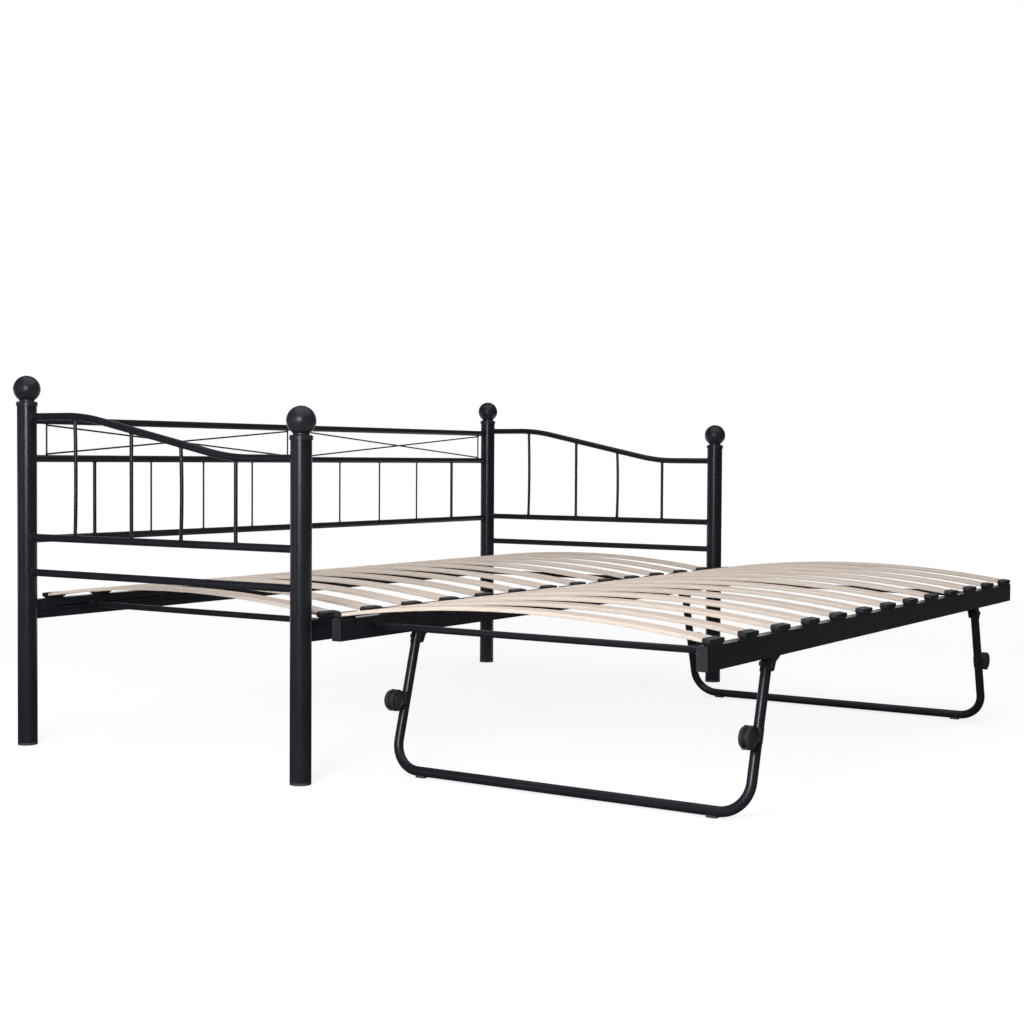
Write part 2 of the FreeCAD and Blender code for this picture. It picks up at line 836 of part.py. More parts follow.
def slat_caps(name, x_middle, row, y, rail_y, side, rail_top):
    """Plastic holders on one rail, each a bevelled shoe on a narrower foot, with a mouth for its slat."""
    body = doc.addObject("PartDesign::Body", name)
    half = size("cap_length") / 2
    half_foot = size("cap_foot_length") / 2
    bevel = size("cap_bevel")
    low = size("cap_foot_height")
    top = size("cap_inner_height")
    shoe = [
        (-half, low + bevel), (bevel - half, low), (half - bevel, low), (half, low + bevel),
        (half, top - bevel), (half - bevel, top), (bevel - half, top), (-half, top - bevel),
    ]
    foot = [(-half_foot, 0), (half_foot, 0), (half_foot, low + bevel), (-half_foot, low + bevel)]
    block = pad(body, f"{name}_block", polygon(body, f"{name}_shoe", "XZ_Plane", shoe), size("cap_depth"))
    stand = pad(body, f"{name}_stand", polygon(body, f"{name}_foot", "XZ_Plane", foot), size("cap_depth"))
    # The sloping top and the mouth are drawn from the middle of the shoe's depth, outwards first.
    shift = cap_reach - size("cap_depth") / 2
    outer = size("cap_depth") / 2
    wedge = [(outer * side, size("cap_outer_height")), (outer * side, top), (-outer * side, top)]
    slope = pocket(body, f"{name}_slope", polygon(body, f"{name}_wedge", "YZ_Plane", wedge), 2 * size("cap_length"))
    gap = size("slat_gap")
    tip = size("slat_lap") + gap - shift
    mouth = -size("cap_depth")
    tip_low = size("cap_floor") - gap
    mouth_low = tip_low + slat_rise(rail_y + size("slat_lap"), rail_y + shift + mouth)
    thick = size("slat_thickness") + 2 * gap
    opening = [
        (tip * side, tip_low),
        (mouth * side, mouth_low),
        (mouth * side, mouth_low + thick),
        (tip * side, tip_low + thick),
    ]
    profile = polygon(body, f"{name}_mouth", "YZ_Plane", opening)
    slot = pocket(body, f"{name}_slot", profile, size("slat_width") + 2 * gap)
    row_along_x(body, [block, stand, slope, slot], row, size("slat_count"))
    return place(body, (x_middle - row / 2, y + (rail_y + shift) * side, rail_top))


def rail_bracket(depth, side):
    """A plate welded to the post, behind the rail's inner face, with two bolt holes."""
    name = f"bed_rail_bracket_{depth}_{side}"
    inner = half_y - rail_half
    low = inner - size("bracket_thickness")
    middle = size("bed_rail_bottom") + size("base_rail_height") / 2
    bottom = middle - size("bracket_height") / 2
    top = middle + size("bracket_height") / 2
    reach = half_x - post_radius - size("bracket_length")
    y_span = sorted((bed_y + low * DEPTHS[depth], bed_y + inner * DEPTHS[depth]), key=float)
    x_span = sorted((reach * SIDES[side], half_x * SIDES[side]), key=float)
    plate = box(f"{name}_plate", (x_span[0], y_span[0], bottom), (x_span[1], y_span[1], top))
    cutter = post_cutters(name, [(depth, side)], bottom, top)
    holes = [bolt_hole(f"{name}_hole_{index}", depth, side, index) for index in (0, 1)]
    return cut(name, plate, *cutter, *holes)


def bolt_place(side, index):
    """Along the bed, where a bracket's bolts go."""
    first = half_x - post_radius - size("bracket_length") / 2 + size("bolt_pitch") / 2
    return (first - size("bolt_pitch") * index) * SIDES[side]


def bolt_span(depth, start, length):
    """The low Y end of something that runs from a distance off the bed's middle outwards."""
    return bed_y + start * DEPTHS[depth] - (length if depth == "front" else 0)


def bolt_hole(name, depth, side, index):
    start = half_y - rail_half - size("bracket_thickness")
    length = size("bracket_thickness") + size("base_rail_wall")
    at = (bolt_place(side, index), bolt_span(depth, start, length), bolt_height)
    return rod(name, size("bolt_diameter") + 2 * size("plug_gap"), length, at, ALONG_Y)


def rail_bolt(depth, side, index):
    """A round-headed bolt through the bracket into the rail."""
    name = f"bed_rail_bolt_{depth}_{side}_{index}"
    face = half_y - rail_half - size("bracket_thickness")
    head = size("bolt_head_height")
    x = bolt_place(side, index)
    head_y = bolt_span(depth, face - head, head)
    shank_y = bolt_span(depth, face, size("bolt_reach"))
    return fuse(
        name,
        rod(f"{name}_head", size("bolt_head_diameter"), head, (x, head_y, bolt_height), ALONG_Y),
        rod(f"{name}_shank", size("bolt_diameter"), size("bolt_reach"), (x, shank_y, bolt_height), ALONG_Y),
    )


bolt_height = size("bed_rail_bottom") + size("base_rail_height") / 2
bed_rail_top = size("bed_rail_bottom") + size("base_rail_height")
bed_row = size("post_spacing_x") - 2 * size("bed_slat_inset")

for depth, sign in DEPTHS.items():
    name = f"bed_rail_{depth}"
    corners = [(depth, side) for side in SIDES]
    tools = post_cutters(name, corners, size("bed_rail_bottom"), bed_rail_top)
    tools += [bolt_hole(f"{name}_hole_{side}_{index}", depth, side, index) for side in SIDES for index in (0, 1)]
    keep(base_rail(name, -half_x, half_x, bed_y + half_y * sign, size("bed_rail_bottom"), tools))
for side, sign in SIDES.items():
    keep(cross_tube(f"bed_cross_tube_{side}", (half_x - size("bed_cross_inset")) * sign, bed_y, half_y - rail_half,
                    bolt_height))
keep(gather("bed_rail_brackets", [rail_bracket(depth, side) for depth, side in CORNERS]))
keep(gather("bed_rail_bolts", [rail_bolt(depth, side, index) for depth, side in CORNERS for index in (0, 1)]))
keep(slats("bed_slats", measure(0), bed_row, bed_y, half_y, bed_rail_top))
for depth, sign in DEPTHS.items():
    keep(slat_caps(f"bed_slat_caps_{depth}", measure(0), bed_row, bed_y, half_y, sign, bed_rail_top))

trundle_half = size("trundle_length") / 2
trundle_rail_top = size("trundle_rail_bottom") + size("base_rail_height")
trundle_tube_x = trundle_half - size("trundle_cross_inset")
trundle_row = size("trundle_length") - 2 * size("trundle_slat_inset")


def trundle_end_cap(depth, side):
    """A plate over a rail's open end, with a plug inside it."""
    name = f"trundle_end_cap_{depth}_{side}"
    wall = size("base_rail_wall") + size("plug_gap")
    y = trundle_y + trundle_rail_y * DEPTHS[depth]
    bottom = size("trundle_rail_bottom")
    end = trundle_half
    spans = {
        "plate": (end - size("end_cap_plate"), end, 0),
        "plug": (end - size("end_cap_plate") - size("end_cap_plug"), end - size("end_cap_plate") / 2, wall),
    }
    solids = []
    for part, (start, stop, inset) in spans.items():
        x_span = sorted((trundle_x + start * SIDES[side], trundle_x + stop * SIDES[side]), key=float)
        low = (x_span[0], y - rail_half + inset, bottom + inset)
        high = (x_span[1], y + rail_half - inset, trundle_rail_top - inset)
        solids.append(box(f"{name}_{part}", low, high))
    return fuse(name, *solids)


rail_end = trundle_half - size("end_cap_plate")
for depth, sign in DEPTHS.items():
    keep(base_rail(f"trundle_rail_{depth}", trundle_x - rail_end, trundle_x + rail_end,
                   trundle_y + trundle_rail_y * sign, size("trundle_rail_bottom")))
for side, sign in SIDES.items():
    keep(cross_tube(f"trundle_cross_tube_{side}", trundle_x + trundle_tube_x * sign, trundle_y,
                    trundle_rail_y - rail_half, size("trundle_rail_bottom") + size("base_rail_height") / 2))
keep(gather("trundle_end_caps", [trundle_end_cap(depth, side) for depth, side in CORNERS]))
keep(slats("trundle_slats", trundle_x, trundle_row, trundle_y, trundle_rail_y, trundle_rail_top))
for depth, sign in DEPTHS.items():
    keep(slat_caps(f"trundle_slat_caps_{depth}", trundle_x, trundle_row, trundle_y, trundle_rail_y, sign,
                   trundle_rail_top))


# ---- hinge brackets --------------------------------------------------------------------

splay = size("leg_splay_angle")
pivot_height = size("trundle_rail_bottom") - size("pivot_drop")
LEG_TURN = {
    "right": Rotation(Vector(0, 1, 0), -float(splay)),
    "left": BACKWARDS * Rotation(Vector(0, 1, 0), -float(splay)),
}


def stop_line(offset, height):
    """Outward distance of a line beside the leg's axis, at a height from the pivot."""
    return (offset - height * sine(splay)) / cosine(splay)


def strap_core(name, diameter, low, high):
    """A round bar on the leg's line, ended level at two heights from the pivot."""
    length = 4 * (size("pivot_drop") + size("hinge_depth"))
    start = (length * sine(splay) / 2, 0, -length * cosine(splay) / 2)
    bar = rod(f"{name}_bar", diameter, length, start, LEG_TURN["right"])
    limits = box(f"{name}_limits", (-length, -diameter, low), (length, diameter, high))
    return common(name, bar, limits)


def hinge_bracket(depth, side):
    """A strap bent round the outward side of the leg, whose ears widen under a top plate."""
    name = f"leg_bracket_{depth}_{side}"
    top = size("pivot_drop")
    low = -size("hinge_depth")
    ceiling = top - size("hinge_sheet")
    reach = size("hinge_inner_reach")
    ears = [
        (-reach, top),
        (-size("hinge_shoulder_reach"), top - size("hinge_shoulder_drop")),
        (stop_line(-hinge_outside, low), low),
        (stop_line(measure(0), low), low),
        (stop_line(measure(0), top), top),
    ]
    room = [
        (-2 * reach, ceiling),
        (-2 * reach, 2 * low),
        (stop_line(measure(0), 2 * low), 2 * low),
        (stop_line(measure(0), ceiling), ceiling),
    ]
    solid = fuse(
        f"{name}_solid",
        plate(f"{name}_ears", ears, 2 * hinge_outside),
        strap_core(f"{name}_strap", 2 * hinge_outside, low, top),
    )
    drill = rod(f"{name}_drill", size("rivet_diameter") + 2 * size("running_gap"), 4 * hinge_outside,
                (0, -2 * hinge_outside, 0), ALONG_Y)
    folded = cut(
        f"{name}_folded", solid,
        plate(f"{name}_room", room, 2 * hinge_inside),
        strap_core(f"{name}_bend", 2 * hinge_inside, 2 * low, ceiling),
        drill,
    )
    return place(gather(name, [folded]), pivot_point(depth, side), None if side == "right" else BACKWARDS)


def pivot_point(depth, side):
    return (
        trundle_x + (trundle_half - size("pivot_inset")) * SIDES[side],
        trundle_y + trundle_rail_y * DEPTHS[depth],
        pivot_height,
    )


def hinge_rivet(depth, side):
    """A rivet with a flat head outside each ear."""
    name = f"leg_rivet_{depth}_{side}"
    x, y, z = pivot_point(depth, side)
    head = size("rivet_head_height")
    return fuse(
        name,
        rod(f"{name}_shank", size("rivet_diameter"), 2 * hinge_outside, (x, y - hinge_outside, z), ALONG_Y),
        rod(f"{name}_front_head", size("rivet_head_diameter"), head, (x, y - hinge_outside - head, z), ALONG_Y),
        rod(f"{name}_rear_head", size("rivet_head_diameter"), head, (x, y + hinge_outside, z), ALONG_Y),
    )


keep(gather("leg_brackets", [hinge_bracket(depth, side) for depth, side in CORNERS]))
keep(gather("leg_rivets", [hinge_rivet(depth, side) for depth, side in CORNERS]))


# ---- folding legs, drawn with the pivot at the origin and the leg hanging along -Z -------

foot_height = size("glide_floor") + leg_radius
leg_length = (pivot_height - foot_height) / cosine(splay)


def seat_leg(name, side, items):
    """Hang pieces drawn along the leg on its pivot line, turned into the leg's splay."""
    x, _, z = pivot_point("rear", side)
    return place(gather(name, items), (x, trundle_y, z), LEG_TURN[side])


def leg_y(depth, side):
    """Across the leg's own frame, where the upright on the front or rear side stands."""
    return trundle_rail_y * DEPTHS[depth] * SIDES[side]


def leg_hoop(side):
    """A U of tube with domed ends, drilled for the rivets and the castor screws."""
    name = f"leg_hoop_{side}"
    width = 2 * trundle_rail_y
    corners = [(0, 0), (0, -leg_length), (width, -leg_length), (width, 0)]
    hoop = bent_tube(f"{name}_tube", corners, size("leg_bend_radius"), "XY_Plane",
                     size("leg_diameter"), size("leg_wall"))
    place(hoop, (0, -trundle_rail_y, 0))
    domes = []
    tools = []
    for depth in DEPTHS:
        y = leg_y(depth, side)
        domes.append(ball(f"{name}_dome_{depth}", size("leg_diameter"), (0, y, 0)))
        tools.append(rod(f"{name}_bore_{depth}", size("rivet_diameter") + 2 * size("running_gap"),
                         2 * size("leg_diameter"), (0, y - size("leg_diameter"), 0), ALONG_Y))
        for index in (0, 1):
            tools.append(rod(f"{name}_screw_hole_{depth}_{index}",
                             size("saddle_screw_diameter") + 2 * size("plug_gap"), size("leg_diameter"),
                             (-leg_radius, y, screw_height(index)), ALONG_X))
    return cut(name, fuse(f"{name}_blank", hoop, *domes), *tools)


def screw_height(index):
    return size("saddle_screw_pitch") * (index - 0.5) - size("castor_place")


def leg_glide(depth, side):
    """A small flat pad between the bottom tube and the floor, just past the bend."""
    name = f"leg_glide_{depth}_{side}"
    x = pivot_point(depth, side)[0] + (pivot_height - foot_height) * sine(splay) / cosine(splay) * SIDES[side]
    y = trundle_y + (trundle_rail_y - size("leg_bend_radius") - size("glide_length") / 2) * DEPTHS[depth]
    half_width = size("glide_width") / 2
    half_length = size("glide_length") / 2
    block = box(f"{name}_block", (x - half_width, y - half_length, 0),
                (x + half_width, y + half_length, size("glide_height")))
    groove = rod(f"{name}_groove", size("leg_diameter") + 2 * size("weld_gap"), size("glide_length"),
                 (x, y - half_length, foot_height), ALONG_Y)
    return cut(name, block, groove)


def castor_saddle(depth, side):
    """A block against the outward side of the leg that holds the castor's stem."""
    name = f"castor_saddle_{depth}_{side}"
    y = leg_y(depth, side)
    half_width = size("saddle_width") / 2
    half_height = size("saddle_height") / 2
    z = -size("castor_place")
    reach = size("saddle_depth")
    block = box(f"{name}_block", (size("saddle_lap"), y - half_width, z - half_height),
                (reach, y + half_width, z + half_height))
    groove = rod(f"{name}_groove", size("leg_diameter") + 2 * size("weld_gap"), size("saddle_height"),
                 (0, y, z - half_height))
    socket = rod(f"{name}_socket", size("stem_diameter") + 2 * size("running_gap"), size("stem_reach"),
                 (reach - size("stem_reach"), y, z), ALONG_X)
    holes = [
        rod(f"{name}_hole_{index}", size("saddle_screw_diameter") + 2 * size("plug_gap"), screw_reach,
            (0, y, screw_height(index)), ALONG_X)
        for index in (0, 1)
    ]
    return cut(name, block, groove, socket, *holes)


def castor_screw(depth, side, index):
    """A screw through the leg tube into the saddle, its head on the inward side."""
    name = f"castor_screw_{depth}_{side}_{index}"
    y = leg_y(depth, side)
    z = screw_height(index)
    head = size("saddle_screw_head_height")
    back = leg_radius + size("weld_gap")
    return fuse(
        name,
        rod(f"{name}_head", size("saddle_screw_head"), head, (-back - head, y, z), ALONG_X),
        rod(f"{name}_shank", size("saddle_screw_diameter"), screw_reach + back, (-back, y, z), ALONG_X),
    )


screw_reach = size("saddle_depth") - size("screw_floor")

for side in SIDES:
    screws = [castor_screw(depth, side, index) for depth in DEPTHS for index in (0, 1)]
    keep(seat_leg(f"leg_tube_{side}", side, [leg_hoop(side)]))
    keep(gather(f"leg_glides_{side}", [leg_glide(depth, side) for depth in DEPTHS]))
    keep(seat_leg(f"castor_saddles_{side}", side, [castor_saddle(depth, side) for depth in DEPTHS]))
    keep(seat_leg(f"castor_screws_{side}", side, screws))


# ---- castors ---------------------------------------------------------------------------

wheel_radius = size("wheel_diameter") / 2
wheel_inner = size("web_thickness") / 2 + size("wheel_side_gap")
wheel_outer = wheel_inner + size("wheel_width")
hood_inner = wheel_radius + size("hood_gap")
hood_outer = hood_inner + size("hood_sheet")
wheel_reach = size("saddle_depth") + size("castor_gap") + hood_outer
wheel_height = -size("castor_place") - size("castor_trail")


def castor_hood(depth, side):
    """A web between the wheels, a fender over their leg side, and a swivel stem in a boss."""
    name = f"castor_hood_{depth}_{side}_blank"
    y = leg_y(depth, side)
    x = wheel_reach
    z = wheel_height
    web_half = size("web_thickness") / 2
    reach = 2 * hood_outer
    face = size("saddle_depth") + size("hinge_gap")
    stem_end = face - size("stem_reach")
    solid = fuse(
        f"{name}_solid",
        rod(f"{name}_shell", 2 * hood_outer, 2 * wheel_outer, (x, y - wheel_outer, z), ALONG_Y),
        rod(f"{name}_boss", size("stem_boss_diameter"), x - face, (face, y, -size("castor_place")), ALONG_X),
        rod(f"{name}_stem", size("stem_diameter"), x - stem_end, (stem_end, y, -size("castor_place")), ALONG_X),
    )
    fender = cut(
        f"{name}_fender", solid,
        rod(f"{name}_front_room", 2 * hood_inner, reach, (x, y - web_half - reach, z), ALONG_Y),
        rod(f"{name}_rear_room", 2 * hood_inner, reach, (x, y + web_half, z), ALONG_Y),
        box(f"{name}_open", (x, y - reach, z - reach), (x + reach, y + reach, z + reach)),
    )
    web = rod(f"{name}_web", size("web_diameter"), size("web_thickness"), (x, y - web_half, z), ALONG_Y)
    bore = rod(f"{name}_bore", size("axle_diameter") + 2 * size("running_gap"), size("web_thickness"),
               (x, y - web_half, z), ALONG_Y)
    return cut(name, fuse(f"{name}_whole", fender, web), bore)


def castor_wheel(name, y, z, facing):
    """One wheel of the pair, with a bevelled tread and a recess round its hub."""
    outer = wheel_radius
    bevel = size("wheel_bevel")
    width = size("wheel_width")
    recess = size("hub_recess")
    hub = size("hub_diameter") / 2
    rim = outer - 2 * bevel
    bore = size("axle_diameter") / 2 + size("plug_gap")
    points = [
        (0, bore), (width, bore), (width, hub), (width - recess, hub + recess), (width - recess, rim),
        (width, rim + recess / 2), (width, outer - bevel), (width - bevel, outer), (bevel, outer),
        (0, outer - bevel),
    ]
    item = revolve(name, "YZ_Plane", "H_Axis", points)
    turn = None if facing > 0 else BACKWARDS
    return place(item, (wheel_reach, y + wheel_inner * facing, z), turn)


def castor_wheels(depth, side):
    """Two wheels on one axle that turns in the hood's web."""
    name = f"castor_wheel_{depth}_{side}"
    y = leg_y(depth, side)
    z = wheel_height
    axle_at = (wheel_reach, y - wheel_outer, z)
    return [
        castor_wheel(f"{name}_front", y, z, -1),
        castor_wheel(f"{name}_rear", y, z, 1),
        rod(f"{name}_axle", size("axle_diameter"), 2 * wheel_outer, axle_at, ALONG_Y),
    ]


for depth, side in CORNERS:
    keep(seat_leg(f"castor_hood_{depth}_{side}", side, [castor_hood(depth, side)]))
    keep(seat_leg(f"castor_wheels_{depth}_{side}", side, castor_wheels(depth, side)))


# ---- check and write -------------------------------------------------------------------

def check_and_write():
    """Stop if anything failed to build, then write one file for each named piece."""
    doc.recompute()
    for item in doc.Objects:
        if {"Invalid", "Error"} & set(item.State):
            raise RuntimeError(f"{item.Name} failed: {item.State}")
    os.makedirs("parts", exist_ok=True)
    for name, item in nodes.items():
        if item.Shape.isNull() or not item.Shape.isValid() or not item.Shape.Solids:
            raise RuntimeError(f"{name} has no sound shape")
        item.Shape.exportStep(f"parts/{name}.step")
    print(f"{len(nodes)} pieces written")


check_and_write()
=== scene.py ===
"""Looks of the metal daybed and its raised trundle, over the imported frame."""

import bmesh
import bpy
import json
import math
from mathutils import Matrix, Vector
from mathutils.bvhtree import BVHTree


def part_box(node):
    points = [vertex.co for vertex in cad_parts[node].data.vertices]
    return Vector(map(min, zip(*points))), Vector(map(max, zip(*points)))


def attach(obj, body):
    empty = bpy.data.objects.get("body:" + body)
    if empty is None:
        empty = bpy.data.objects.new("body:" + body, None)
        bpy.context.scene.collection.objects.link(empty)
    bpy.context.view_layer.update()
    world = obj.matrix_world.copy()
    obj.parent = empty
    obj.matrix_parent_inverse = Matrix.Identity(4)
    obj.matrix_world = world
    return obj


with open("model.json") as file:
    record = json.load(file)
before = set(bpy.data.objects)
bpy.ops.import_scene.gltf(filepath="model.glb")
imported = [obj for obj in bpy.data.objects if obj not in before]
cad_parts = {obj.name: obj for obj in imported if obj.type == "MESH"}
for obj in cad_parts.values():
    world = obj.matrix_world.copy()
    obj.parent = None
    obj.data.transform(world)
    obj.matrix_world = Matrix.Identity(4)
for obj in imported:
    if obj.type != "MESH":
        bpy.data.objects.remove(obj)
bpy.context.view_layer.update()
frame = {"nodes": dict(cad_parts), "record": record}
nodes = frame["nodes"]

SIDES = ("left", "right")
X, Y, Z = Vector((1, 0, 0)), Vector((0, 1, 0)), Vector((0, 0, 1))


# ---- camera ----------------------------------------------------------------------------

CAMERA_PLACE = (-3.7763, -2.3020, 0.7169)
CAMERA_LENS = 57.55
CAMERA_YAW = math.radians(33.005)
CAMERA_PITCH = math.radians(-1.6993)
CAMERA_ROLL = math.radians(0.3512)


def add_camera():
    """The photograph's viewpoint: near the left end of the daybed, looking along both beds."""
    data = bpy.data.cameras.new("camera")
    data.lens = CAMERA_LENS
    data.sensor_width = 36
    data.clip_end = 200
    camera = bpy.data.objects.new("camera", data)
    bpy.context.scene.collection.objects.link(camera)
    level = math.cos(CAMERA_PITCH)
    ahead = Vector((math.cos(CAMERA_YAW) * level, math.sin(CAMERA_YAW) * level, math.sin(CAMERA_PITCH)))
    turn = ahead.to_track_quat("-Z", "Y").to_matrix().to_4x4()
    camera.matrix_world = Matrix.Translation(CAMERA_PLACE) @ turn @ Matrix.Rotation(CAMERA_ROLL, 4, "Z")
    bpy.context.scene.camera = camera


# ---- material helpers ------------------------------------------------------------------

class Nodes:
    """Adds nodes to the tree of a material or of the world."""

    def __init__(self, tree):
        self.tree = tree

    def node(self, kind, **values):
        """Adds a node; inputs are given by name, other settings as attributes."""
        item = self.tree.nodes.new(kind)
        for name, value in values.items():
            socket = item.inputs.get(name.replace("_", " "))
            if socket is not None:
                self.feed(socket, value)
            else:
                setattr(item, name, value)
        return item

    def feed(self, socket, value):
        if isinstance(value, bpy.types.NodeSocket):
            self.tree.links.new(value, socket)
        else:
            socket.default_value = value

    def ramp(self, value, *stops):
        item = self.node("ShaderNodeValToRGB", Fac=value)
        while len(item.color_ramp.elements) < len(stops):
            item.color_ramp.elements.new(0.5)
        for element, (position, color) in zip(item.color_ramp.elements, stops):
            element.position = position
            element.color = (*color, 1.0)
        return item.outputs["Color"]

    def math(self, operation, first, second=0.0):
        item = self.node("ShaderNodeMath", operation=operation)
        self.feed(item.inputs[0], first)
        self.feed(item.inputs[1], second)
        return item.outputs[0]

    def mix(self, factor, first, second, blend="MIX"):
        item = self.node("ShaderNodeMix", data_type="RGBA", blend_type=blend)
        for index, value in ((0, factor), (6, first), (7, second)):
            if isinstance(value, tuple):
                value = (*value, 1.0)
            self.feed(item.inputs[index], value)
        return item.outputs[2]

    def spread(self, value, low, high, start=0.0, stop=1.0):
        """A value between start and stop, moved to lie between low and high."""
        item = self.node("ShaderNodeMapRange", Value=value)
        item.inputs["From Min"].default_value = start
        item.inputs["From Max"].default_value = stop
        item.inputs["To Min"].default_value = low
        item.inputs["To Max"].default_value = high
        return item.outputs["Result"]

    def vector(self, operation, first, second, result="Vector"):
        item = self.node("ShaderNodeVectorMath", operation=operation)
        self.feed(item.inputs[0], first)
        self.feed(item.inputs[1], second)
        return item.outputs[result]


class Shader(Nodes):
    """A node-based material round one Principled surface."""

    def __init__(self, name, roughness=0.5, metallic=0.0, specular=0.5, tint=(1.0, 1.0, 1.0)):
        self.material = bpy.data.materials.new(name)
        self.material.use_nodes = True
        super().__init__(self.material.node_tree)
        self.surface = self.tree.nodes["Principled BSDF"]
        self.surface.inputs["Roughness"].default_value = roughness
        self.surface.inputs["Metallic"].default_value = metallic
        self.surface.inputs["Specular IOR Level"].default_value = specular
        self.surface.inputs["Specular Tint"].default_value = (*tint, 1.0)
        self.place = self.node("ShaderNodeTexCoord").outputs["Object"]
        self.axes = self.node("ShaderNodeSeparateXYZ", Vector=self.place).outputs

    def noise(self, scale, detail=2.0, stretch=None, place=None):
        where = self.place if place is None else place
        if stretch is not None:
            where = self.node("ShaderNodeMapping", Vector=where, Scale=stretch).outputs["Vector"]
        return self.node("ShaderNodeTexNoise", Vector=where, Scale=scale, Detail=detail).outputs["Fac"]

    def color(self, value):
        self.feed(self.surface.inputs["Base Color"], value)

    def rough(self, value):
        self.feed(self.surface.inputs["Roughness"], value)

    def bump(self, height, strength, distance):
        item = self.node("ShaderNodeBump", Height=height)
        item.inputs["Strength"].default_value = strength
        item.inputs["Distance"].default_value = distance
        self.feed(self.surface.inputs["Normal"], item.outputs["Normal"])


# ---- materials -------------------------------------------------------------------------

# The slight blue cast of the gloss on the coat and the finials.
COOL_GLOSS = (0.87, 0.90, 1.0)

# The slats' sizes, and how their plywood is drawn: plies, where in a ply its glue line starts,
# how far the grain moves from slat to slat, and how level a face is that still counts as an edge.
SLAT_COUNT = 13
SLAT_WIDTH = 0.053
SLAT_THICKNESS = 0.008
SLAT_PLIES = 7
GLUE_START = 0.86
GRAIN_SHIFT = (3.7, 11.3)
EDGE_LEVEL = 0.7


def powder_coat():
    """Black powder coat: fine orange peel, a faint blue cast and slightly uneven gloss."""
    shader = Shader("powder_coat", specular=0.44, tint=COOL_GLOSS)
    cloud = shader.noise(9.0, 3.0)
    shader.color(shader.ramp(cloud, (0.3, (0.0072, 0.0076, 0.0104)), (0.75, (0.0112, 0.0120, 0.0165))))
    shader.rough(shader.spread(shader.noise(40.0, 4.0), 0.24, 0.30))
    shader.bump(shader.noise(900.0, 1.0), 0.003, 0.0003)
    return shader.material


def gloss_black():
    """Lacquered finials: a soft gloss over a slightly mottled black."""
    shader = Shader("finial_gloss", specular=0.42, tint=COOL_GLOSS)
    mottle = shader.noise(30.0)
    shader.color(shader.ramp(mottle, (0.3, (0.010, 0.010, 0.014)), (0.8, (0.018, 0.018, 0.026))))
    shader.rough(shader.spread(shader.noise(60.0, 3.0), 0.31, 0.38))
    shader.bump(shader.noise(500.0, 1.0), 0.005, 0.0003)
    return shader.material


def moulded_black(name="black_plastic", low=(0.010, 0.010, 0.012), high=(0.020, 0.020, 0.023)):
    """Moulded plastic with a fine spark-eroded grain, dusty where it is close to the floor."""
    shader = Shader(name, specular=0.4)
    base = shader.ramp(shader.noise(25.0), (0.3, low), (0.8, high))
    low_down = shader.spread(shader.axes["Z"], 0.45, 0.0, 0.0, 0.02)
    dust = shader.math("MULTIPLY", low_down, shader.noise(90.0, 4.0))
    shader.color(shader.mix(dust, base, (0.16, 0.15, 0.14)))
    shader.rough(shader.spread(shader.noise(120.0, 3.0), 0.46, 0.60))
    shader.bump(shader.noise(1400.0, 1.0), 0.25, 0.0004)
    return shader.material


def fastener_steel():
    """Blackened steel, slightly uneven in tone and gloss."""
    shader = Shader("dark_fastener", metallic=0.9)
    cloud = shader.noise(200.0)
    shader.color(shader.ramp(cloud, (0.3, (0.05, 0.05, 0.052)), (0.8, (0.10, 0.10, 0.105))))
    shader.rough(shader.spread(shader.noise(300.0), 0.3, 0.5))
    return shader.material


def birch_face(shader, grain, pores, cloud):
    """Long grain with darker pores and slow changes of tone."""
    face = shader.ramp(
        grain,
        (0.30, (0.585, 0.466, 0.402)),
        (0.52, (0.672, 0.554, 0.490)),
        (0.78, (0.735, 0.624, 0.566)),
    )
    face = shader.mix(shader.spread(pores, 0.0, 0.30, 0.45, 0.75), face, (0.47, 0.36, 0.29))
    return shader.mix(shader.spread(cloud, 0.0, 0.25), face, (0.70, 0.570, 0.492))


def birch_edge(shader, fibre, slat_low, slat_high):
    """Long and end-grain plies with glue lines between them, which follow the slats' crown."""
    half = (slat_high.y - slat_low.y) / 2
    crown = slat_high.z - slat_low.z - SLAT_THICKNESS
    radius = half * half / (2 * crown) + crown / 2
    across = shader.math("SUBTRACT", shader.axes["Y"], (slat_low.y + slat_high.y) / 2)
    square = shader.math("SUBTRACT", radius * radius, shader.math("MULTIPLY", across, across))
    rise = shader.math("SUBTRACT", shader.math("SQRT", square), radius - crown)
    depth = shader.math("SUBTRACT", shader.math("SUBTRACT", shader.axes["Z"], slat_low.z), rise)
    ply = shader.math("MULTIPLY", depth, SLAT_PLIES / SLAT_THICKNESS)
    odd = shader.math("FLOORED_MODULO", shader.math("FLOOR", ply), 2.0)
    glue = shader.math("GREATER_THAN", shader.math("FRACT", ply), GLUE_START)
    long_ply = shader.ramp(fibre, (0.3, (0.59, 0.520, 0.455)), (0.75, (0.66, 0.595, 0.535)))
    end_ply = shader.ramp(fibre, (0.3, (0.52, 0.445, 0.380)), (0.75, (0.60, 0.525, 0.462)))
    return shader.mix(glue, shader.mix(odd, long_ply, end_ply), (0.43, 0.35, 0.29))


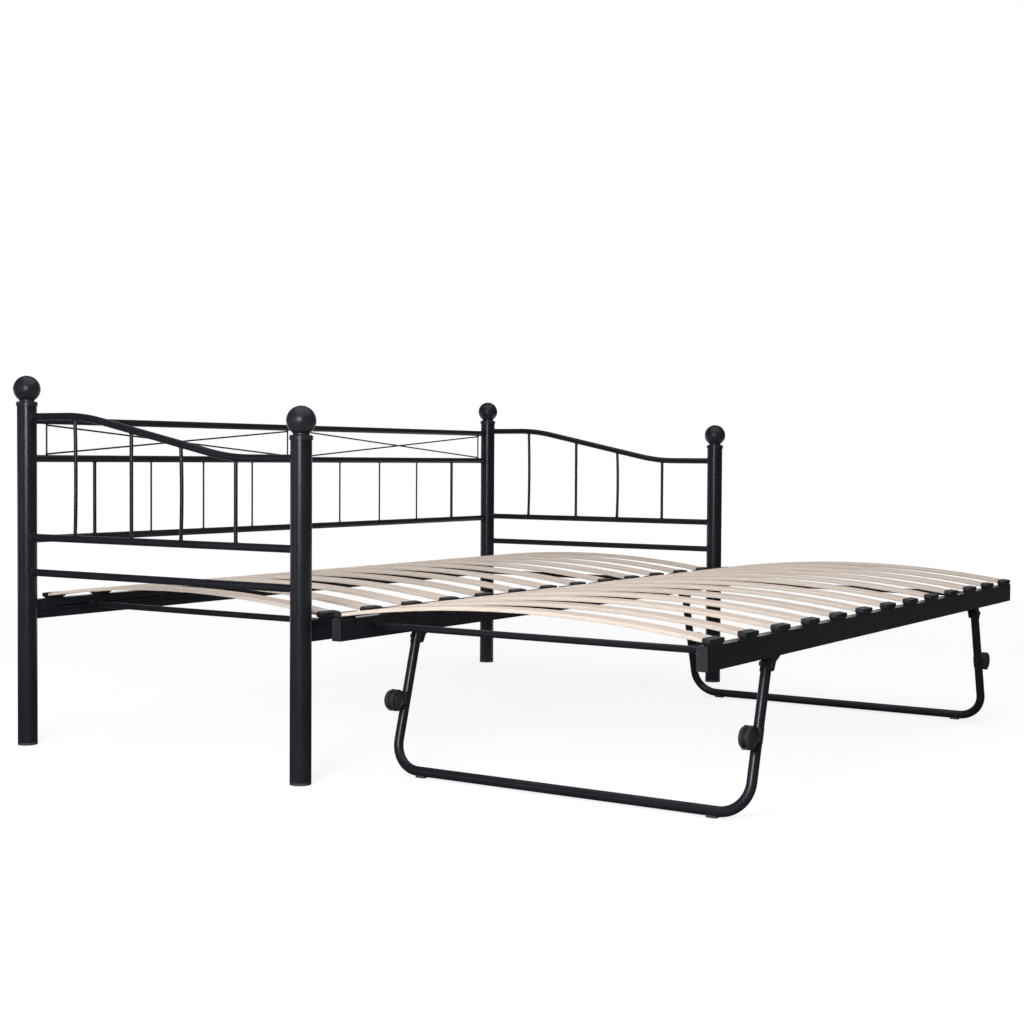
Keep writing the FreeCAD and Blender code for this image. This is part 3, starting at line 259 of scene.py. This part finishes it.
def birch(base):
    """Pale birch plywood for one bed: grain on the faces, plies along the edges, each slat its own."""
    shader = Shader(f"slat_wood_{base}", specular=0.35)
    slat_low, slat_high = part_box(f"{base}_slats")
    pitch = (slat_high.x - slat_low.x - SLAT_WIDTH) / (SLAT_COUNT - 1)
    along = shader.math("SUBTRACT", shader.axes["X"], slat_low.x + SLAT_WIDTH / 2)
    number = shader.math("ROUND", shader.math("DIVIDE", along, pitch))
    drift = shader.node(
        "ShaderNodeCombineXYZ",
        X=shader.math("MULTIPLY", number, GRAIN_SHIFT[0]),
        Y=shader.math("MULTIPLY", number, GRAIN_SHIFT[1]),
    )
    place = shader.vector("ADD", shader.place, drift.outputs[0])
    grain = shader.noise(75.0, 5.0, (1.0, 0.045, 1.0), place)
    pores = shader.noise(620.0, 2.0, (1.0, 0.02, 1.0), place)
    cloud = shader.noise(5.0, 2.0, None, place)
    fibre = shader.noise(380.0, 3.0, (1.0, 0.25, 1.0), place)
    face = birch_face(shader, grain, pores, cloud)
    edge = birch_edge(shader, fibre, slat_low, slat_high)

    normal = shader.node("ShaderNodeNewGeometry").outputs["Normal"]
    facing = shader.node("ShaderNodeSeparateXYZ", Vector=normal).outputs["Z"]
    on_edge = shader.math("LESS_THAN", shader.math("ABSOLUTE", facing), EDGE_LEVEL)
    wood = shader.mix(on_edge, face, edge)
    tone = shader.node("ShaderNodeTexWhiteNoise", noise_dimensions="1D", W=number).outputs["Value"]
    shade = shader.ramp(tone, (0.0, (0.90, 0.89, 0.88)), (1.0, (1.0, 1.0, 1.0)))
    shader.color(shader.mix(1.0, wood, shade, "MULTIPLY"))
    shader.rough(shader.spread(grain, 0.44, 0.60))
    shader.bump(pores, 0.12, 0.0003)
    return shader.material


MATERIALS = {
    "powder_coat": powder_coat(),
    "finial_gloss": gloss_black(),
    "black_plastic": moulded_black(),
    "castor_rubber": moulded_black("castor_rubber", (0.016, 0.016, 0.017), (0.034, 0.034, 0.036)),
    "dark_fastener": fastener_steel(),
}
BIRCH = {base: birch(base) for base in ("bed", "trundle")}


def dress_frame():
    """Every CAD piece takes the material of its slot."""
    for part in frame["record"]["subparts"]:
        name = part["node"]
        item = nodes[name]
        item.data.materials.clear()
        if part["material_slot"] == "slat_wood":
            item.data.materials.append(BIRCH[name.split("_")[0]])
        else:
            item.data.materials.append(MATERIALS[part["material_slot"]])


# ---- rounded edges ---------------------------------------------------------------------

SAME_POINT = 0.00001
SHARP_ANGLE = math.radians(35)
ROUNDED = {
    "bed_rail_front": 0.0022,
    "bed_rail_rear": 0.0022,
    "trundle_rail_front": 0.0022,
    "trundle_rail_rear": 0.0022,
    "trundle_end_caps": 0.0018,
    "bed_rail_brackets": 0.0006,
    "bed_rail_bolts": 0.0008,
    "leg_brackets": 0.0004,
    "leg_rivets": 0.0008,
    "leg_glides_left": 0.0012,
    "leg_glides_right": 0.0012,
    "castor_saddles_left": 0.0015,
    "castor_saddles_right": 0.0015,
    "castor_screws_left": 0.0005,
    "castor_screws_right": 0.0005,
    "foot_caps": 0.0012,
    "finial_front_left": 0.0035,
    "finial_front_right": 0.0035,
    "finial_rear_left": 0.0035,
    "finial_rear_right": 0.0035,
    "bed_slats": 0.0016,
    "trundle_slats": 0.0016,
    "bed_slat_caps_front": 0.0014,
    "bed_slat_caps_rear": 0.0014,
    "trundle_slat_caps_front": 0.0014,
    "trundle_slat_caps_rear": 0.0014,
}


def round_edges(name, width):
    """Round a piece's sharp edges by the radius that its bending or moulding leaves."""
    item = nodes[name]
    for layer in ("custom_normal", "sharp_edge", "sharp_face"):
        if layer in item.data.attributes:
            item.data.attributes.remove(item.data.attributes[layer])
    item.data.shade_smooth()
    weld = item.modifiers.new("weld", "WELD")
    weld.merge_threshold = SAME_POINT
    bevel = item.modifiers.new("bevel", "BEVEL")
    bevel.width = width
    bevel.segments = 3
    bevel.limit_method = "ANGLE"
    bevel.angle_limit = SHARP_ANGLE
    bevel.harden_normals = True


# ---- new pieces ------------------------------------------------------------------------

# Radii of the weld beads round a rail at its post, a rod, a wire and a cross tube.
RAIL_BEAD = 0.0019
ROD_BEAD = 0.0010
WIRE_BEAD = 0.0008
TUBE_BEAD = 0.0015

# A bead's sides, how far it stands off the metal in bead radii, the length of a ripple in the same
# measure, the points to each ripple, and the height of the fine ripples and of the slow ones.
BEAD_SIDES = 8
BEAD_RISE = 0.3
RIPPLE_LENGTH = 1.5
RIPPLE_POINTS = 5
FINE_RIPPLE = 0.14
SLOW_RIPPLE = 0.07


def add_piece(name, shape, body, slot):
    """Makes a new visible piece of a shape, on a body of the frame."""
    mesh = bpy.data.meshes.new(name)
    shape.to_mesh(mesh)
    shape.free()
    mesh.materials.append(MATERIALS[slot])
    item = bpy.data.objects.new(name, mesh)
    bpy.context.scene.collection.objects.link(item)
    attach(item, body)
    return item


def solids(name):
    """The lowest and highest corner of each separate solid in a CAD piece, from -X to +X."""
    shape = bmesh.new()
    shape.from_mesh(nodes[name].data)
    bmesh.ops.remove_doubles(shape, verts=shape.verts, dist=SAME_POINT)
    left = set(shape.verts)
    found = []
    while left:
        front = [left.pop()]
        group = []
        while front:
            vertex = front.pop()
            group.append(vertex.co.copy())
            for edge in vertex.link_edges:
                other = edge.other_vert(vertex)
                if other in left:
                    left.remove(other)
                    front.append(other)
        low = Vector([min(point[axis] for point in group) for axis in range(3)])
        high = Vector([max(point[axis] for point in group) for axis in range(3)])
        found.append((low, high))
    shape.free()
    return sorted(found, key=lambda pair: (round(pair[0].x, 4), pair[0].y))


def add_ring(shape, points, outward, bead, ripples):
    """A closed bead of weld metal along points, slightly rippled as the torch leaves it."""
    rows = []
    for index, point in enumerate(points):
        ahead = (points[(index + 1) % len(points)] - points[index - 1]).normalized()
        side = outward[index].normalized()
        up = ahead.cross(side)
        turn = index / len(points) * math.tau
        fine = FINE_RIPPLE * math.sin(turn * ripples)
        slow = SLOW_RIPPLE * math.sin(turn * 5 + bead * 9000)
        radius = bead * (1 + fine + slow)
        rows.append([
            shape.verts.new(point + (side * math.cos(a) + up * math.sin(a)) * radius)
            for a in (step / BEAD_SIDES * math.tau for step in range(BEAD_SIDES))
        ])
    for row, after in zip(rows, rows[1:] + rows[:1]):
        for one, two in zip(range(BEAD_SIDES), [*range(1, BEAD_SIDES), 0]):
            shape.faces.new((row[one], row[two], after[two], after[one])).smooth = True


def weld_round(shape, crossing, along, axis, branch_radius, main_radius, bead):
    """The weld where a round bar that leaves a crossing point meets a round or flat surface.

    along is the bar's direction away from the other piece, axis is the other piece's own line;
    where main_radius is None the other piece is a flat face at the crossing point.
    """
    along = along.normalized()
    one = axis.cross(along).normalized()
    two = along.cross(one)
    reach = branch_radius + bead * BEAD_RISE
    ripples = round(math.tau * branch_radius / (bead * RIPPLE_LENGTH))
    count = ripples * RIPPLE_POINTS
    points = []
    outward = []
    for index in range(count):
        turn = index / count * math.tau
        away = one * math.cos(turn) + two * math.sin(turn)
        offset = away * reach
        rise = bead * BEAD_RISE
        if main_radius is not None:
            surface = main_radius + bead * BEAD_RISE
            flat = offset - axis * offset.dot(axis)
            lean = along - axis * along.dot(axis)
            half = flat.dot(lean)
            size = lean.length_squared
            short = flat.length_squared - surface * surface
            rise = (-half + math.sqrt(half * half - size * short)) / size
        points.append(crossing + offset + along * rise)
        outward.append(away)
    add_ring(shape, points, outward, bead, ripples)


def middle(name):
    low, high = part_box(name)
    return (low + high) / 2


def post_axis(depth, side, height):
    spot = middle(f"post_{depth}_{side}")
    return Vector((spot.x, spot.y, height))


def surface_height(tree, x, y):
    """The top of a surface over a point on the floor plan."""
    return tree.ray_cast(Vector((x, y, 2.0)), -Z)[0].z


def rail_line(tree, x, y, radius):
    """A rail's centre point and direction above or below a point on the plan."""
    step = 0.004
    near, far = surface_height(tree, x, y - step), surface_height(tree, x, y + step)
    direction = Vector((0, 2 * step, far - near)).normalized()
    return Vector((x, y, (near + far) / 2 - radius / direction.y)), direction


def mesh_tree(name):
    mesh = nodes[name].data
    points = [vertex.co for vertex in mesh.vertices]
    return BVHTree.FromPolygons(points, [list(polygon.vertices) for polygon in mesh.polygons])


def daybed_welds():
    """The beads where rails meet posts and where rods and wires meet rails."""
    shape = bmesh.new()
    post_low, post_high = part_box("post_front_left")
    post_radius = (post_high.x - post_low.x) / 2
    for side in SIDES:
        for level in ("lower", "middle", "top"):
            name = f"end_{level}_rail_{side}"
            low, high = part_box(name)
            # All rails are of one tube, so the last one's radius serves for the back rails too.
            rail_radius = (high.x - low.x) / 2
            for depth, inwards in (("front", Y), ("rear", -Y)):
                height = (low.z + high.z) / 2
                if level == "top":
                    height = low.z + rail_radius if depth == "front" else high.z - rail_radius
                spot = post_axis(depth, side, height)
                weld_round(shape, spot, inwards, Z, rail_radius, post_radius, RAIL_BEAD)
        top = mesh_tree(f"end_top_rail_{side}")
        lower = middle(f"end_lower_rail_{side}")
        for low, high in solids(f"end_spindles_{side}"):
            thick = (high.x - low.x) / 2
            y = high.y - thick
            foot = Vector((lower.x, y, lower.z))
            weld_round(shape, foot, Z, Y, thick, rail_radius, ROD_BEAD)
            spot, direction = rail_line(top, lower.x, y, rail_radius)
            weld_round(shape, spot, -Z, direction, thick, rail_radius, ROD_BEAD)
    levels = {level: middle(f"back_{level}_rail") for level in ("top", "middle", "lower")}
    uprights = (("back_spindles", "middle", "lower"), ("back_wire_uprights", "top", "middle"))
    for name, upper, under in uprights:
        for low, high in solids(name):
            thick = (high.x - low.x) / 2
            for level, along in ((upper, -Z), (under, Z)):
                spot = Vector(((low.x + high.x) / 2, levels[level].y, levels[level].z))
                weld_round(shape, spot, along, X, thick, rail_radius, WIRE_BEAD)
    cross_welds(shape, "bed")
    return shape


def cross_welds(shape, base):
    """The beads round a base's cross tubes, on the inner faces of its rails."""
    inner = {"front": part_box(f"{base}_rail_front")[1].y, "rear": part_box(f"{base}_rail_rear")[0].y}
    for side in SIDES:
        low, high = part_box(f"{base}_cross_tube_{side}")
        spot = (low + high) / 2
        for depth, along in (("front", Y), ("rear", -Y)):
            face = Vector((spot.x, inner[depth], spot.z))
            weld_round(shape, face, along, Z, (high.x - low.x) / 2, None, TUBE_BEAD)


def trundle_welds():
    shape = bmesh.new()
    cross_welds(shape, "trundle")
    return shape


# ---- floor and light -------------------------------------------------------------------

# Level directions: across the beds to the white backdrop, along that backdrop, and to a paler wall.
BACKDROP = Vector((0.84, 0.54, 0.0))
ASIDE = Vector((-0.54, 0.84, 0.0))
WALL = Vector((0.9, -0.44, 0.0))

# How strongly the world lights the beds, and what their gloss sees of the dark room and of the wall.
WORLD_LIGHT = 0.45
ROOM_SHADE = 0.04
WALL_SHADE = 0.06

# The floor's own colour, the light on it, and how much of it the beds' gloss doesn't see.
FLOOR_SHARE = 0.30
FLOOR_LIGHT = 0.85
FLOOR_UNSEEN = 0.72
FLOOR_RADIUS = 60

# Where each change begins and ends: in metres on the floor, and in the world as the cosine of a
# ray's angle to the direction.
SHADOW_FADE = (2.4, 5.0)
FLOOR_BACKDROP = (0.6, 2.4)
FLOOR_ASIDE = (-2.8, -1.8)
WORLD_BACKDROP = (0.82, 0.94)
WORLD_WALL = (0.6, 0.95)


def seen_rays(shader):
    """The light path's camera, glossy and transmission flags."""
    path = shader.node("ShaderNodeLightPath")
    return [path.outputs[f"Is {kind} Ray"] for kind in ("Camera", "Glossy", "Transmission")]


def towards(shader, place, direction, start, stop):
    """0 to 1 as a place or a ray lies further in a direction, from start to stop."""
    return shader.spread(shader.vector("DOT_PRODUCT", place, direction, "Value"), 0.0, 1.0, start, stop)


def add_floor():
    """A plain floor that is seen as white and still takes the beds' soft shadows near them."""
    mesh = bpy.data.meshes.new("floor")
    floor = bpy.data.objects.new("floor", mesh)
    bpy.context.scene.collection.objects.link(floor)
    shape = bmesh.new()
    bmesh.ops.create_circle(shape, cap_ends=True, segments=96, radius=FLOOR_RADIUS)
    shape.to_mesh(mesh)
    shape.free()
    shader = Shader("floor_white", roughness=0.95, specular=0.1)
    camera, glossy, transmission = seen_rays(shader)
    beyond = towards(shader, shader.place, BACKDROP, *FLOOR_BACKDROP)
    beside = towards(shader, shader.place, ASIDE, *FLOOR_ASIDE)
    behind = shader.math("MULTIPLY", beyond, beside)
    direct = shader.math("ADD", camera, transmission)
    seen = shader.math("ADD", direct, shader.math("MULTIPLY", glossy, behind))
    distance = shader.node("ShaderNodeVectorMath", operation="LENGTH")
    shader.feed(distance.inputs[0], shader.place)
    far = shader.spread(distance.outputs["Value"], 0.0, 1.0, *SHADOW_FADE)
    lit = shader.math("SUBTRACT", 1.0, shader.math("MULTIPLY", far, seen))
    unseen = shader.math("MULTIPLY", glossy, shader.math("SUBTRACT", FLOOR_UNSEEN, behind))
    lit = shader.math("SUBTRACT", lit, unseen)
    share = shader.math("MAXIMUM", shader.math("MULTIPLY", lit, FLOOR_SHARE), 0.0)
    grey = shader.node("ShaderNodeCombineColor", Red=share, Green=share, Blue=share)
    shader.color(grey.outputs["Color"])
    glow = shader.math("MULTIPLY", seen, shader.spread(far, 1.0 - FLOOR_SHARE * FLOOR_LIGHT, 1.0))
    shader.surface.inputs["Emission Color"].default_value = (1, 1, 1, 1)
    shader.feed(shader.surface.inputs["Emission Strength"], glow)
    mesh.materials.append(shader.material)


def add_area(name, at, aim, size, power):
    """A rectangular lamp that the camera doesn't see."""
    light = bpy.data.lights.new(name, "AREA")
    light.energy = power
    light.shape = "RECTANGLE"
    light.size, light.size_y = size
    item = bpy.data.objects.new(name, light)
    item.location = at
    item.rotation_euler = (Vector(aim) - Vector(at)).to_track_quat("-Z", "Y").to_euler()
    bpy.context.scene.collection.objects.link(item)
    item.visible_camera = False
    return item


def add_light():
    """An even world and four lamps: left of the camera, further left, overhead, and behind it."""
    world = bpy.data.worlds.new("studio")
    world.use_nodes = True
    bpy.context.scene.world = world
    shader = Nodes(world.node_tree)
    background = shader.tree.nodes["Background"]
    background.inputs["Color"].default_value = (1, 1, 1, 1)
    camera, glossy, transmission = seen_rays(shader)
    place = shader.node("ShaderNodeTexCoord").outputs["Generated"]
    behind = towards(shader, place, BACKDROP, *WORLD_BACKDROP)
    room = shader.spread(behind, ROOM_SHADE - WORLD_LIGHT, 1.0 - WORLD_LIGHT)
    wall = shader.spread(towards(shader, place, WALL, *WORLD_WALL), 0.0, WALL_SHADE)
    reflected = shader.math("MULTIPLY", glossy, shader.math("ADD", room, wall))
    seen = shader.math("MULTIPLY", shader.math("ADD", camera, transmission), 1.0 - WORLD_LIGHT)
    strength = shader.math("ADD", WORLD_LIGHT, shader.math("ADD", seen, reflected))
    shader.feed(background.inputs["Strength"], strength)
    add_area("key", (-3.4, -0.98, 1.28), (-0.6, 0, 0.8), (0.9, 1.1), 50)
    add_area("panel", (-3.9, 1.9, 0.7), (-1.0, 0.1, 0.5), (1.8, 1.6), 5)
    add_area("overhead", (-0.6, -0.6, 5.0), (0, 0, 0.3), (6.4, 6.4), 130)
    add_area("fill", (-6.0, -1.2, 1.6), (0, 0, 0.3), (4.0, 2.6), 195).visible_glossy = False


dress_frame()
for name, width in ROUNDED.items():
    round_edges(name, width)
add_piece("weld_beads_daybed", daybed_welds(), "daybed", "powder_coat")
add_piece("weld_beads_trundle", trundle_welds(), "trundle", "powder_coat")
add_floor()
add_light()
add_camera()

bpy.context.scene.view_settings.view_transform = "Standard"
